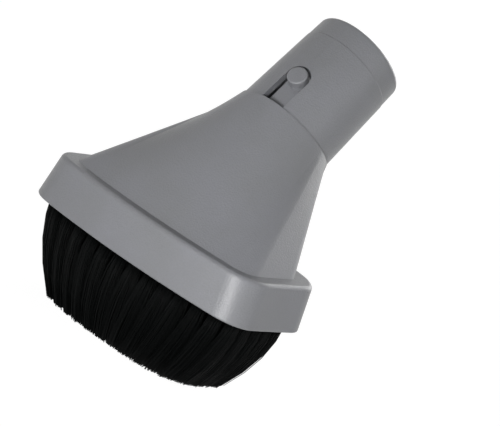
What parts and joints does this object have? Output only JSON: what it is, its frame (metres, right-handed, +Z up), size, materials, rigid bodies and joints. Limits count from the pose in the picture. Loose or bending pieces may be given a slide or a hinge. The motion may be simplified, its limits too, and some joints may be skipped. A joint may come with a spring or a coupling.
{
  "type": "vacuum dusting brush",
  "caption": "Grey moulded vacuum dusting brush head with a bowed oblong rim, a funnel to a slanted round neck with a push-button latch, and a ring of black bristle tufts.",
  "frame": {"origin": "middle of the bounding box's base, where the bristle tips stand", "axes": "+X along the head's long side, +Y the way the neck leans back, +Z up along the head's own axis"},
  "size_m": [0.088, 0.0874, 0.1128],
  "materials": {
    "grey_housing": "fine textured moulding",
    "grey_latch": "fine textured moulding",
    "black_frame": "plain moulding",
    "bristle": "soft synthetic filament",
    "anchor_wire": "flat wire"
  },
  "bodies": {
    "brush": {"housing": "grey_housing", "bristle_frame": "black_frame", "tuft_anchors": "anchor_wire", "tuft_01": "bristle", "tuft_02": "bristle", "tuft_03": "bristle", "tuft_04": "bristle", "tuft_05": "bristle", "tuft_06": "bristle", "tuft_07": "bristle", "tuft_08": "bristle", "tuft_09": "bristle", "tuft_10": "bristle", "tuft_11": "bristle", "tuft_12": "bristle", "tuft_13": "bristle", "tuft_14": "bristle", "tuft_15": "bristle", "tuft_16": "bristle", "tuft_17": "bristle", "tuft_18": "bristle", "tuft_19": "bristle", "tuft_20": "bristle", "tuft_21": "bristle", "tuft_22": "bristle", "tuft_23": "bristle", "tuft_24": "bristle", "tuft_25": "bristle", "tuft_26": "bristle", "tuft_27": "bristle", "tuft_28": "bristle", "tuft_29": "bristle", "tuft_30": "bristle", "tuft_31": "bristle", "tuft_32": "bristle", "tuft_33": "bristle", "tuft_34": "bristle"},
    "latch": {"latch": "grey_latch"}
  },
  "joints": [
    {"name": "latch_press", "type": "hinge", "parent": "brush", "child": "latch", "pos_m": [0, -0.004, 0.07916], "axis": [-1, 0, 0], "range_deg": [0, 6], "stiffness_Nm_per_rad": 0.12}
  ]
}
